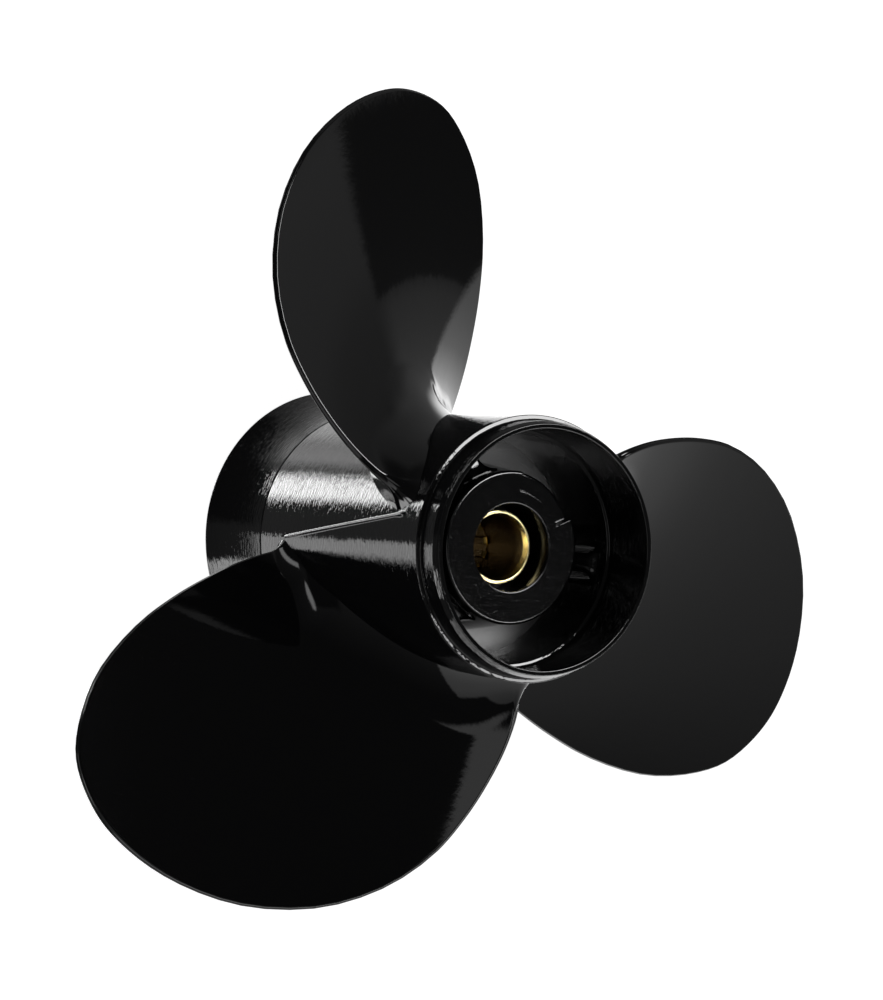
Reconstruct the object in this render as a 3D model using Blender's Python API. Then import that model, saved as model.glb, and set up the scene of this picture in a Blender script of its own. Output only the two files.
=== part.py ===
"""Three-bladed outboard motor propeller with exhaust through its hub, as named solids.

Metres, +Z up. The shaft's axis is the Z axis and the aft end is up. The origin is on that axis in the
plane of the front bell's rim, which is the face that the propeller stands on.
Clock angles are in degrees, clockwise from +Y as seen from the aft end.
"""
import math

import bmesh
import bpy
import numpy as np

MM = 0.001

# Driving dimensions
DIAMETER = 295 * MM              # 11 5/8 in over the blade tips
PITCH = 279.4 * MM               # 11 in, right hand
HUB_LENGTH = 134 * MM
CREASE_Z = 27 * MM               # where the bell begins to flare
RING_Z = 119 * MM                # where the aft ring begins
THROAT_Z = 88 * MM               # narrowest place of the exhaust passages
GAP = 0.3 * MM                   # between neighbouring solids
BLADES = 3
RING_SEGMENTS = 72
CORE_SEGMENTS = 48
SHARP_ANGLE = 35                 # degrees; a steeper edge is shaded sharp
WELD = 0.001 * MM                # points nearer than this become one

# Outer hub, radii
BELL_RIM_R = 48.9 * MM
CREASE_R = 42.3 * MM
BARREL_AFT_R = 41.6 * MM
BELL_WALL = 4.0 * MM
BELL_POWER = 1.7                 # how late the bell flares
BELL_STATIONS = 7
MOUTH_R = 37.9 * MM              # bore of the aft mouth
STEP_R = 36.9 * MM               # bore just forward of the mouth's step
STEP_Z = 112.2 * MM
STEP_SLOPE = 0.4 * MM            # height of the mouth's sloping step
THROAT_R = 35.8 * MM
PASSAGE_FRONT_R = 38.2 * MM

# Aft ring: a raised land, a smooth band of smaller radius and a thin rounded rim, radii and heights
LAND_R = 42.2 * MM
LAND_Z = (122.7 * MM, 125.0 * MM)
LAND_CHAMFER = 0.5 * MM
BAND_R = 40.6 * MM
BAND_AFT_R = 40.3 * MM
BAND_AFT_Z = 131.6 * MM
RIM_R = 39.4 * MM
RIM_CHAMFER = 0.4 * MM

# Inner hub
CORE_FRONT_Z = 22 * MM
CORE_AFT_Z = 113.5 * MM
CORE_AFT_R = 24.4 * MM
CORE_THROAT_R = 27.0 * MM
CORE_FRONT_R = 25.2 * MM
BUSH_SEAT_R = 18.0 * MM
BUSH_SEAT_AFT_Z = 98 * MM
LIP_R = 13.9 * MM
RECESS_R = 18.5 * MM
RECESS_DEPTH = 3 * MM
RECESS_CLOCK = (11, 69)
RECESS_STEPS = 12

# Rubber bush and brass sleeve
BUSH_FRONT_Z = 27 * MM
SLEEVE_FRONT_Z = 19 * MM
SLEEVE_AFT_Z = 106.2 * MM
SLEEVE_R = 12.0 * MM
COUNTERBORE_R = 9.9 * MM
COUNTERBORE_Z = 83 * MM
CONE_R = 11.0 * MM
CONE_DEPTH = 4 * MM
SPLINE_TEETH = 13
SPLINE_ROOT_R = 9.6 * MM
SPLINE_TIP_R = 8.5 * MM
TOOTH_HALF_SHARE = 0.22          # of the tooth spacing, from a tooth's middle to the edge of its tip
SLOT_START_SHARE = 0.28          # of the tooth spacing, from a tooth's middle to the edge of the slot
SLEEVE_CHAMFER = 0.8 * MM

# Ribs between the inner hub and the barrel
RIB_CLOCK = -20
RIB_THICKNESS = 5.5 * MM
RIB_FRONT_Z = 32 * MM
RIB_AFT_Z = 107 * MM

# Blades: the middle of the edge follows a helicoid that crosses the clock angle 0 at this height
BLADE_Z = 62.5 * MM
BLADE_ROOT_R = 42 * MM
ROOT_THICKNESS = 12.5 * MM
TIP_THICKNESS = 3.6 * MM
EDGE_THICKNESS = 1.8 * MM
SPAN_POWER = 0.8                 # how early the blade thins on its way to the tip
ARCH_POWER = 0.9                 # how full the back's arch is along the chord
CHORD_STEPS = 20
SPAN_STEPS = 16
ROOT_STEPS = 4
# The edge from the trailing end of the root round the tip to the leading end: radius in mm, clock angle
BLADE_EDGE = (
    (42, -65.2), (56, -62.4), (70, -58.1), (86, -52.7), (101, -47.2), (115, -40.4), (127.5, -32.5),
    (138, -23.4), (145, -14), (147.5, -5.5), (144, 1.6), (136, 6.5), (122, 11.7), (104, 16.2),
    (86, 19.8), (67.5, 23.3), (54, 25.9), (42, 28.1),
)
TIP_INDEX = 9


def material(name, colour, roughness, metallic):
    """A Principled material of one colour, given as linear red, green and blue."""
    made = bpy.data.materials.new(name)
    made.use_nodes = True
    shader = made.node_tree.nodes["Principled BSDF"]
    shader.inputs["Base Color"].default_value = (*colour, 1)
    shader.inputs["Roughness"].default_value = roughness
    shader.inputs["Metallic"].default_value = metallic
    made.diffuse_color = (*colour, 1)
    return made


def finish(bm, name, surface):
    """Turns a bmesh into a smooth-shaded named object with outward faces."""
    bmesh.ops.recalc_face_normals(bm, faces=bm.faces)
    mesh = bpy.data.meshes.new(name)
    bm.to_mesh(mesh)
    bm.free()
    mesh.shade_smooth()
    mesh.set_sharp_from_angle(angle=math.radians(SHARP_ANGLE))
    mesh.materials.append(surface)
    thing = bpy.data.objects.new(name, mesh)
    bpy.context.scene.collection.objects.link(thing)
    return thing


def turned(name, profile, steps, surface):
    """A closed outline of (radius, height) points, spun once round the Z axis."""
    bm = bmesh.new()
    points = [bm.verts.new((radius, 0, height)) for radius, height in profile]
    edges = [bm.edges.new((a, b)) for a, b in zip(points, points[1:] + points[:1])]
    bmesh.ops.spin(bm, geom=points + edges, cent=(0, 0, 0), axis=(0, 0, 1), angle=2 * math.pi,
                   steps=steps, use_merge=True)
    bmesh.ops.remove_doubles(bm, verts=bm.verts, dist=WELD)
    return finish(bm, name, surface)


def barrel_outer(height):
    """Outer radius of the barrel, which tapers a little towards the aft end."""
    share = (height - CREASE_Z) / (RING_Z - CREASE_Z)
    return CREASE_R + (BARREL_AFT_R - CREASE_R) * share


def barrel_inner(height):
    """Inner radius of the barrel, narrowest at the throat."""
    return float(np.interp(height, (CREASE_Z, THROAT_Z, STEP_Z), (PASSAGE_FRONT_R, THROAT_R, STEP_R)))


def core_outer(height):
    """Outer radius of the inner hub, widest at the throat."""
    return float(np.interp(height, (CORE_FRONT_Z, THROAT_Z, CORE_AFT_Z),
                           (CORE_FRONT_R, CORE_THROAT_R, CORE_AFT_R)))


def make_barrel(paint):
    profile = [
        (barrel_outer(CREASE_Z + GAP), CREASE_Z + GAP),
        (BARREL_AFT_R, RING_Z),
        (MOUTH_R, RING_Z),
        (MOUTH_R, STEP_Z + STEP_SLOPE),
        (STEP_R, STEP_Z),
        (THROAT_R, THROAT_Z),
        (PASSAGE_FRONT_R, CREASE_Z + GAP),
    ]
    return turned("barrel", profile, RING_SEGMENTS, paint)


def make_front_bell(paint):
    """The flared mouth at the front, whose outer wall opens as a power of the way to the rim."""
    outer, inner = [], []
    for i in range(BELL_STATIONS):
        share = i / (BELL_STATIONS - 1)
        height = CREASE_Z * (1 - share)
        radius = CREASE_R + (BELL_RIM_R - CREASE_R) * share ** BELL_POWER
        outer.append((radius, height))
        inner.append((radius - BELL_WALL, height))
    return turned("front_bell", outer + inner[::-1], RING_SEGMENTS, paint)


def make_aft_ring(paint):
    """The aft ring: the barrel's own radius, the raised land, the smaller band and the thin rim."""
    profile = [
        (BARREL_AFT_R, RING_Z + GAP),
        (BARREL_AFT_R, LAND_Z[0] - LAND_CHAMFER),
        (LAND_R, LAND_Z[0]),
        (LAND_R, LAND_Z[1] - LAND_CHAMFER),
        (LAND_R - LAND_CHAMFER, LAND_Z[1]),
        (BAND_R, LAND_Z[1] + LAND_CHAMFER),
        (BAND_AFT_R, BAND_AFT_Z),
        ((BAND_AFT_R + RIM_R) / 2, (BAND_AFT_Z + HUB_LENGTH) / 2),
        (RIM_R, HUB_LENGTH - RIM_CHAMFER),
        (RIM_R - RIM_CHAMFER, HUB_LENGTH),
        (MOUTH_R + RIM_CHAMFER, HUB_LENGTH),
        (MOUTH_R, HUB_LENGTH - RIM_CHAMFER),
        (MOUTH_R, RING_Z + GAP),
    ]
    return turned("aft_ring", profile, RING_SEGMENTS, paint)


def make_recess_cutter():
    """A sector of a ring that cuts the step out of the inner hub's aft face."""
    bm = bmesh.new()
    low, high = CORE_AFT_Z - RECESS_DEPTH, CORE_AFT_Z + RECESS_DEPTH
    far = CORE_THROAT_R + RECESS_DEPTH
    columns = []
    for i in range(RECESS_STEPS + 1):
        clock = math.radians(RECESS_CLOCK[0] + (RECESS_CLOCK[1] - RECESS_CLOCK[0]) * i / RECESS_STEPS)
        x, y = math.sin(clock), math.cos(clock)
        columns.append([bm.verts.new((x * r, y * r, z))
                        for r, z in ((RECESS_R, low), (far, low), (far, high), (RECESS_R, high))])
    for a, b in zip(columns, columns[1:]):
        for k in range(4):
            bm.faces.new((a[k], b[k], b[(k + 1) % 4], a[(k + 1) % 4]))
    bm.faces.new(columns[0])
    bm.faces.new(columns[-1][::-1])
    bmesh.ops.recalc_face_normals(bm, faces=bm.faces)
    mesh = bpy.data.meshes.new("recess_cutter")
    bm.to_mesh(mesh)
    bm.free()
    cutter = bpy.data.objects.new("recess_cutter", mesh)
    cutter.hide_render = True
    cutter.display_type = "WIRE"
    bpy.context.scene.collection.objects.link(cutter)
    return cutter


def make_inner_hub(paint):
    profile = [
        (CORE_FRONT_R, CORE_FRONT_Z),
        (CORE_THROAT_R, THROAT_Z),
        (CORE_AFT_R, CORE_AFT_Z),
        (LIP_R, CORE_AFT_Z),
        (LIP_R, BUSH_SEAT_AFT_Z),
        (BUSH_SEAT_R, BUSH_SEAT_AFT_Z),
        (BUSH_SEAT_R, CORE_FRONT_Z),
    ]
    hub = turned("inner_hub", profile, CORE_SEGMENTS, paint)
    cut = hub.modifiers.new("recess", "BOOLEAN")
    cut.operation = "DIFFERENCE"
    cut.solver = "EXACT"
    cut.object = make_recess_cutter()
    return hub


def make_rubber_bush(rubber):
    profile = [
        (BUSH_SEAT_R - GAP, BUSH_FRONT_Z),
        (BUSH_SEAT_R - GAP, BUSH_SEAT_AFT_Z - GAP),
        (SLEEVE_R + GAP, BUSH_SEAT_AFT_Z - GAP),
        (SLEEVE_R + GAP, BUSH_FRONT_Z),
    ]
    return turned("rubber_bush", profile, CORE_SEGMENTS, rubber)


def make_spline_sleeve(brass):
    """The brass sleeve: each period of its outline has two points on a tooth's tip and two in a slot."""
    period = 2 * math.pi / SPLINE_TEETH
    angles, in_slot = [], []
    for tooth in range(SPLINE_TEETH):
        for share, slot in ((-TOOTH_HALF_SHARE, False), (TOOTH_HALF_SHARE, False),
                            (SLOT_START_SHARE, True), (1 - SLOT_START_SHARE, True)):
            angles.append((tooth + share) * period)
            in_slot.append(slot)

    def circle(bm, radius, height):
        return [bm.verts.new((radius * math.sin(a), radius * math.cos(a), height)) for a in angles]

    def splined(bm, height):
        return [bm.verts.new(((SPLINE_ROOT_R if slot else SPLINE_TIP_R) * math.sin(a),
                              (SPLINE_ROOT_R if slot else SPLINE_TIP_R) * math.cos(a), height))
                for a, slot in zip(angles, in_slot)]

    bm = bmesh.new()
    rings = [
        circle(bm, SLEEVE_R, SLEEVE_FRONT_Z),
        circle(bm, SLEEVE_R, SLEEVE_AFT_Z - SLEEVE_CHAMFER),
        circle(bm, SLEEVE_R - SLEEVE_CHAMFER / 2, SLEEVE_AFT_Z),
        circle(bm, COUNTERBORE_R + SLEEVE_CHAMFER / 2, SLEEVE_AFT_Z),
        circle(bm, COUNTERBORE_R, SLEEVE_AFT_Z - SLEEVE_CHAMFER),
        circle(bm, COUNTERBORE_R, COUNTERBORE_Z),
        splined(bm, COUNTERBORE_Z),
        splined(bm, SLEEVE_FRONT_Z + CONE_DEPTH),
        circle(bm, COUNTERBORE_R, SLEEVE_FRONT_Z + CONE_DEPTH),
        circle(bm, CONE_R, SLEEVE_FRONT_Z),
    ]
    count = len(angles)
    for a, b in zip(rings, rings[1:] + rings[:1]):
        for k in range(count):
            bm.faces.new((a[k], a[(k + 1) % count], b[(k + 1) % count], b[k]))
    return finish(bm, "spline_sleeve", brass)


def make_rib(number, paint):
    """A straight web whose inner and outer faces follow the inner hub and the barrel."""
    bm = bmesh.new()
    half = RIB_THICKNESS / 2
    across = (-half, 0, half)
    heights = (RIB_FRONT_Z, (RIB_FRONT_Z + THROAT_Z) / 2, THROAT_Z, RIB_AFT_Z)
    rows = []
    for height in heights:
        inner = core_outer(height) + GAP
        outer = barrel_inner(height) - GAP
        loop = [bm.verts.new((x, inner, height)) for x in across]
        loop += [bm.verts.new((x, math.sqrt(outer ** 2 - x ** 2), height)) for x in reversed(across)]
        rows.append(loop)
    for a, b in zip(rows, rows[1:]):
        for k in range(len(a)):
            n = (k + 1) % len(a)
            bm.faces.new((a[k], a[n], b[n], b[k]))
    bm.faces.new(rows[0][::-1])
    bm.faces.new(rows[-1])
    rib = finish(bm, f"rib_{number}", paint)
    clock = math.radians(RIB_CLOCK + (number - 1) * 360 / BLADES)
    rib.rotation_euler = (0, 0, -clock)
    return rib


def edge_curve(samples):
    """Points of the blade's edge by a Catmull-Rom spline through BLADE_EDGE, as radius and clock arrays.

    The spline runs through (sideways, upward) places, so that it is round at the tip, with as many
    samples from the root to the tip on the trailing side as on the leading side.
    """
    radius = np.array([point[0] for point in BLADE_EDGE]) * MM
    clock = np.radians([point[1] for point in BLADE_EDGE])
    places = np.stack([radius * np.sin(clock), radius * np.cos(clock)], axis=1)
    padded = np.vstack([2 * places[0] - places[1], places, 2 * places[-1] - places[-2]])

    def at(t):
        k = min(int(t), len(places) - 2)
        f = t - k
        a, b, c, d = padded[k:k + 4]
        bend, twist = 2 * a - 5 * b + 4 * c - d, 3 * b - a - 3 * c + d
        return 0.5 * (2 * b + (c - a) * f + bend * f ** 2 + twist * f ** 3)

    last = len(places) - 1
    share = np.sin(np.linspace(0, math.pi / 2, samples))
    trailing = np.array([at(TIP_INDEX * s) for s in share])
    leading = np.array([at(last - (last - TIP_INDEX) * s) for s in share])
    return [(np.hypot(side[:, 0], side[:, 1]), np.arctan2(side[:, 0], side[:, 1]))
            for side in (trailing, leading)]


def blade_thickness(radius, share):
    """Thickness at a radius and a share of the chord: a low arch over the edge's own thickness."""
    span = (radius - BLADE_ROOT_R) / (DIAMETER / 2 - BLADE_ROOT_R)
    most = ROOT_THICKNESS + (TIP_THICKNESS - ROOT_THICKNESS) * min(max(span, 0), 1) ** SPAN_POWER
    return EDGE_THICKNESS + (most - EDGE_THICKNESS) * (4 * share * (1 - share)) ** ARCH_POWER


def blade_point(radius, clock, depth):
    """A point a given depth forward of the helicoid, along the helicoid's normal."""
    slope = PITCH / (2 * math.pi * radius)
    size = math.hypot(1, slope)
    along, down = -depth * slope / size, -depth / size
    height = BLADE_Z - PITCH * clock / (2 * math.pi) + down
    x = radius * math.sin(clock) + along * math.cos(clock)
    y = radius * math.cos(clock) - along * math.sin(clock)
    return x, y, height


def make_blade_mesh():
    """The pressure face, the back, and the strips that close them along the edge and at the root.

    The pressure face lies half the edge's thickness aft of the helicoid all over.
    """
    (trail_r, trail_c), (lead_r, lead_c) = edge_curve(SPAN_STEPS + 1)
    layers = ROOT_STEPS + 1
    bm = bmesh.new()
    grid = []
    for j in range(SPAN_STEPS + 1):
        row = []
        for i in range(CHORD_STEPS + 1):
            share = 0.5 - 0.5 * math.cos(math.pi * i / CHORD_STEPS)
            radius = trail_r[j] + (lead_r[j] - trail_r[j]) * share
            clock = trail_c[j] + (lead_c[j] - trail_c[j]) * share
            thickness = blade_thickness(radius, share)
            column = []
            for k in range(layers):
                x, y, z = blade_point(radius, clock, thickness * k / ROOT_STEPS - EDGE_THICKNESS / 2)
                if j == 0:
                    seat = (barrel_outer(z) + GAP) / math.hypot(x, y)
                    x, y = x * seat, y * seat
                column.append((x, y, z))
            row.append(column)
        grid.append(row)

    made = {}

    def vert(j, i, k):
        if (j, i, k) not in made:
            made[j, i, k] = bm.verts.new(grid[j][i][k])
        return made[j, i, k]

    last = layers - 1
    for j in range(SPAN_STEPS):
        for i in range(CHORD_STEPS):
            for k in (0, last):
                bm.faces.new((vert(j, i, k), vert(j, i + 1, k), vert(j + 1, i + 1, k), vert(j + 1, i, k)))
        for i in (0, CHORD_STEPS):
            if j > 0:
                bm.faces.new((vert(j, i, 0), vert(j + 1, i, 0), vert(j + 1, i, last), vert(j, i, last)))
            else:
                seat = [vert(0, i, k) for k in range(layers)]
                bm.faces.new([vert(1, i, 0)] + seat + [vert(1, i, last)])
    for i in range(CHORD_STEPS):
        for k in range(ROOT_STEPS):
            bm.faces.new((vert(0, i, k), vert(0, i, k + 1), vert(0, i + 1, k + 1), vert(0, i + 1, k)))
    bmesh.ops.remove_doubles(bm, verts=bm.verts, dist=WELD)
    return bm


def make_blade(number, paint):
    blade = finish(make_blade_mesh(), f"blade_{number}", paint)
    blade.rotation_euler = (0, 0, -math.radians((number - 1) * 360 / BLADES))
    return blade


def main():
    for thing in list(bpy.data.objects):
        bpy.data.objects.remove(thing, do_unlink=True)
    make_barrel(material("barrel_gloss_black", (0.006, 0.006, 0.006), 0.12, 0))
    make_front_bell(material("bell_gloss_black", (0.006, 0.006, 0.006), 0.12, 0))
    make_aft_ring(material("ring_gloss_black", (0.006, 0.006, 0.006), 0.12, 0))
    make_inner_hub(material("inner_hub_black", (0.010, 0.010, 0.010), 0.45, 0))
    make_rubber_bush(material("bush_rubber", (0.012, 0.012, 0.012), 0.7, 0))
    make_spline_sleeve(material("sleeve_brass", (0.72, 0.48, 0.14), 0.25, 1))
    for number in range(1, BLADES + 1):
        make_rib(number, material(f"rib_{number}_black", (0.010, 0.010, 0.010), 0.35, 0))
        make_blade(number, material(f"blade_{number}_gloss_black", (0.006, 0.006, 0.006), 0.12, 0))


main()
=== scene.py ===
"""Looks of a three-bladed outboard motor propeller: a casting in gloss black paint with a brass sleeve.

Sizes are in millimetres until a mesh is made. The frame's axes hold: +Z is the shaft's axis, aft end up.
Clock angles run clockwise from +Y as seen from the aft end: x = r sin c, y = r cos c.
"""

import math

import bmesh
import bpy
import numpy as np
from mathutils import Matrix, Vector


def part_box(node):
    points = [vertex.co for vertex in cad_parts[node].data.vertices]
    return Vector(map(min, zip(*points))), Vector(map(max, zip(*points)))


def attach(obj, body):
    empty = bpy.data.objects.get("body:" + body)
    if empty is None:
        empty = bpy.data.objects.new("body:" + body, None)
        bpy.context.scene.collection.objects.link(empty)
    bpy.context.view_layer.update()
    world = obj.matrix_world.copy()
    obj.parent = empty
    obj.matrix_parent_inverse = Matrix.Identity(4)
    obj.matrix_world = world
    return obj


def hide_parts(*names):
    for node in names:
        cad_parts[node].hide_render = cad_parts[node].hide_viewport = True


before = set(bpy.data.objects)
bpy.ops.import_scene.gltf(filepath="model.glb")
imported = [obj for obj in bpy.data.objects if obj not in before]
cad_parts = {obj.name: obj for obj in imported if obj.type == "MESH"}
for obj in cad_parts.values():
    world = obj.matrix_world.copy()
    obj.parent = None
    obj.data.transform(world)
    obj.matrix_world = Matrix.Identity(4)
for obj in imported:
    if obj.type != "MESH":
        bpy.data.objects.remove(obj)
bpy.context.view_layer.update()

MM = 0.001
WELD = 1e-7                      # metres; points nearer than this become one
SHARP = math.radians(40)         # a steeper edge is shaded sharp
BODY = "root"


def low_high(node):
    """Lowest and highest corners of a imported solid, in millimetres."""
    return [np.array(corner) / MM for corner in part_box(node)]


# Heights and radii of the hub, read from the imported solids
HUB_LENGTH = low_high("aft_ring")[1][2]
BELL_RIM_R = low_high("front_bell")[1][0]
CREASE_Z = low_high("front_bell")[1][2]
RING_Z = low_high("barrel")[1][2]
CORE_FRONT_Z, CORE_AFT_Z = low_high("inner_hub")[0][2], low_high("inner_hub")[1][2]
BUSH_FRONT_Z, BUSH_AFT_Z = low_high("rubber_bush")[0][2], low_high("rubber_bush")[1][2]
SLEEVE_FRONT_Z, SLEEVE_AFT_Z = low_high("spline_sleeve")[0][2], low_high("spline_sleeve")[1][2]
RIB_FRONT_Z, RIB_AFT_Z = low_high("rib_1")[0][2], low_high("rib_1")[1][2]
BLADES = 3

# Outer hub
CREASE_R, BARREL_AFT_R = 42.3, 41.6
LAND_R, LAND_FRONT_Z, LAND_AFT_Z = 42.2, 122.6, 125.1
BAND_R, BAND_AFT_R = 40.6, 40.35
RIM_R = 39.4
MOUTH_R = 37.9
STEP_R, STEP_Z = 36.9, 112.2
STEP_LEAN, STEP_ROUND = 0.35, 0.3
THROAT_R, THROAT_Z = 35.8, 88.0
PASSAGE_FRONT_R = 38.2
WALL_MARGIN, WALL_ROWS = 3.0, 12             # the barrel's inner rows keep clear of its step and its crease
BELL_WALL, BELL_WALL_SETTLES = 4.0, 0.4      # thickness, and the share of the way after which it is even
BELL_POWER, BELL_ROWS = 1.7, 26
CREASE_SLOPE = 0.05              # the bell's slope where it leaves the barrel
BELL_RIM_ROUND, BELL_MOUTH_ROUND = 0.5, 1.2
# The fine groove at the crease: where it starts, is deepest and ends, forward of the crease
GROOVE_NEAR, GROOVE_BOTTOM, GROOVE_FAR = 0.05, 0.35, 0.7
GROOVE_DEPTH, GROOVE_ROUND = 0.16, 0.2
GROOVE_FAR_RISE = 0.02           # its far end stands this much outside the crease
# The aft ring: lean of the land's front side and of its foot, shoulders of the rim measured from its end
LAND_LEAN, FOOT_LEAN = 0.35, 0.25
SHOULDER_Z, SHOULDER_ROUND = 2.2, 1.2
RIM_LEAN_Z, RIM_LEAN_R, RIM_LEAN_ROUND = 0.7, 0.35, 0.7
TURNED_STEPS = 288               # divisions of a turned outline round the axis

# Inner hub
CORE_AFT_R, CORE_THROAT_R, CORE_FRONT_R = 24.4, 27.0, 25.2
BUSH_SEAT_R, BUSH_SEAT_AFT_Z, LIP_R = 18.0, 98.0, 13.9
RECESS_R, RECESS_DEPTH, RECESS_CLOCKS = 18.5, 3.0, (11.0, 69.0)
RECESS_WALL, RECESS_END = 0.35, 0.6          # half widths of its steep sides, in mm and in degrees
RECESS_FADE = (8.0, 3.5)                     # below the aft face, where the hub's side stops following it

# Ribs
RIB_CLOCK, RIB_THICKNESS, RIB_FILLET, RIB_EDGE = -20.0, 5.5, 4.5, 1.6
RIB_SUNK = 0.6                   # how far a rib's ends reach into the walls
RIB_LIFT, RIB_LIFT_POWER = 0.5, 9            # how the fillet also spreads along the walls, near its ends
RIB_CLEAR, RIB_SIDE_ROWS = 4.0, 14           # rows up a rib's sides, clear of its rounded edges
RIB_EDGE_STEPS, RIB_WAY_ROWS = 8, 31

# Bush and sleeve
BUSH_R = 17.7
BUSH_ROUND, BUSH_LIP_ROUND, BUSH_BULGE = 1.0, 0.6, 0.4
SLEEVE_R, COUNTERBORE_R, COUNTERBORE_Z = 12.0, 9.9, 83.0
CONE_R, CONE_DEPTH = 11.0, 4.0
CHAMFER_R, CHAMFER_DEPTH, CHAMFER_ROUND = 0.9, 1.8, 0.3   # the counterbore's mouth
SPLINE_TEETH, SPLINE_ROOT_R, SPLINE_TIP_R = 13, 9.6, 8.5
TOOTH_STEPS = 24                 # columns for each tooth
TOOTH_FLANK = (0.2, 0.29)        # shares of a tooth's pitch, from its middle, between which a flank lies

# Blades: the middle of the edge lies on a helicoid of constant pitch, at this height at clock angle 0
PITCH, BLADE_Z, ROOT_R, TIP_R = 279.4, 62.5, 42.0, 147.5
ROOT_THICKNESS, TIP_THICKNESS, EDGE_THICKNESS = 12.5, 3.6, 1.7
EDGE_ROOT_EXTRA, EDGE_ROOT_FADE = 2.2, 10.0
SPAN_POWER, ARCH_POWER = 0.8, 0.9
TURN_START, TURN_END = 6.0, 26.0             # above the root: the inward step turns square to the edge
# The edge from the trailing end of the root round the tip to the leading end: radius, clock angle
BLADE_EDGE = np.array((
    (42, -65.2), (56, -62.4), (70, -58.1), (86, -52.7), (101, -47.2), (115, -40.4), (127.5, -32.5),
    (138, -23.4), (145, -14), (147.5, -5.5), (144, 1.6), (136, 6.5), (122, 11.7), (104, 16.2),
    (86, 19.8), (67.5, 23.3), (54, 25.9), (42, 28.1),
))
TIP_INDEX = 9
EDGE_SAMPLES = 3401
EDGE_LEAN = 0.3                  # how far the edge face leans over the back, per millimetre of its depth


def clocked(radius, clock, height):
    """Points from radius, clock angle in radians and height: (r sin c, r cos c, z)."""
    return np.stack(np.broadcast_arrays(radius * np.sin(clock), radius * np.cos(clock), height), axis=-1)


def ramp(value, start, end):
    """Smooth step: 0 before start, 1 after end, 3 t^2 - 2 t^3 between."""
    t = np.clip((value - start) / (end - start), 0, 1)
    return t * t * (3 - 2 * t)


def spline(knots, t):
    """Catmull-Rom curve through the rows of knots, at any array of t counted in knots."""
    knots = np.asarray(knots, float)
    padded = np.vstack([2 * knots[0] - knots[1], knots, 2 * knots[-1] - knots[-2]])
    k = np.clip(np.floor(t).astype(int), 0, len(knots) - 2)
    f = (t - k)[..., None]
    a, b, c, d = (padded[k + i] for i in range(4))
    square, cube = 2 * a - 5 * b + 4 * c - d, 3 * b - a - 3 * c + d
    return 0.5 * (2 * b + (c - a) * f + square * f ** 2 + cube * f ** 3)


def curve_through(shares, values, at):
    """A smooth curve of values over shares from 0 to 1, by the same spline."""
    t = np.interp(at, shares, np.arange(len(shares)))
    return spline(np.array(values, float)[:, None], t)[..., 0]


def grid_quads(rows, columns, wrap_rows=False, wrap_columns=False):
    """Corner numbers of every quad of a grid whose points are numbered row by row."""
    row, column = np.meshgrid(np.arange(rows if wrap_rows else rows - 1),
                              np.arange(columns if wrap_columns else columns - 1), indexing="ij")
    here, below = row * columns, (row + 1) % rows * columns
    beside = (column + 1) % columns
    return np.stack((here + column, here + beside, below + beside, below + column), axis=-1).reshape(-1, 4)


def make_piece(name, points, quads, material, node):
    """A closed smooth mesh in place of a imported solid: doubles merged, faces turned outwards."""
    mesh = bpy.data.meshes.new(name)
    mesh.from_pydata((points.reshape(-1, 3) * MM).tolist(), [], quads.tolist())
    bm = bmesh.new()
    bm.from_mesh(mesh)
    bmesh.ops.remove_doubles(bm, verts=bm.verts, dist=WELD)
    bmesh.ops.recalc_face_normals(bm, faces=bm.faces)
    bm.to_mesh(mesh)
    bm.free()
    mesh.shade_smooth()
    mesh.set_sharp_from_angle(angle=SHARP)
    mesh.materials.append(material)
    thing = bpy.data.objects.new(name, mesh)
    bpy.context.scene.collection.objects.link(thing)
    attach(thing, BODY)
    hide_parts(node)


def rounded(corners, steps=6, lead=0.12):
    """A closed outline with arcs at its corners. Each corner is (radius, height, rounding).

    The arc's centre lies on the corner's bisector at rounding / sin(half angle), and the arc runs between
    the points where it touches both sides. A support point lies a little before and after the arc, so that
    the smooth shading of the flats stays flat.
    """
    outline = []
    places = np.array([corner[:2] for corner in corners], float)
    for i, (_, _, rounding) in enumerate(corners):
        here, before, after = places[i], places[i - 1], places[(i + 1) % len(places)]
        if rounding == 0:
            outline.append(here[None])
            continue
        u, v = (before - here), (after - here)
        u, v = u / np.linalg.norm(u), v / np.linalg.norm(v)
        half = math.acos(np.clip(u @ v, -1, 1)) / 2
        reach = rounding / math.tan(half)
        centre = here + (u + v) / np.linalg.norm(u + v) * rounding / math.sin(half)
        start, end = here + u * reach - centre, here + v * reach - centre
        swing = math.pi - 2 * half
        t = np.linspace(0, 1, steps + 1)[:, None]
        arc = centre + (np.sin((1 - t) * swing) * start + np.sin(t * swing) * end) / math.sin(swing)
        outline += [(here + u * (reach + lead))[None], arc, (here + v * (reach + lead))[None]]
    return np.vstack(outline)


def turned(outline, clocks):
    """A closed outline of (radius, height) carried once round the Z axis, as points and quads."""
    points = clocked(outline[None, :, 0], clocks[:, None], outline[None, :, 1])
    return points, grid_quads(len(clocks), len(outline), True, True)


def even_clocks(count):
    """Clock angles in radians of count equal steps round the axis."""
    return np.arange(count) * 2 * math.pi / count


def barrel_outer(height):
    """Outer radius of the barrel, which tapers evenly towards the aft end."""
    return CREASE_R + (BARREL_AFT_R - CREASE_R) * (height - CREASE_Z) / (RING_Z - CREASE_Z)


def barrel_inner(height):
    """Inner radius of the barrel, narrowest at the throat."""
    return np.interp(height, (CREASE_Z, THROAT_Z, STEP_Z), (PASSAGE_FRONT_R, THROAT_R, STEP_R))


def core_outer(height):
    """Outer radius of the inner hub, widest at the throat."""
    heights = (CORE_FRONT_Z, THROAT_Z, CORE_AFT_Z)
    return np.interp(height, heights, (CORE_FRONT_R, CORE_THROAT_R, CORE_AFT_R))


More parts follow.
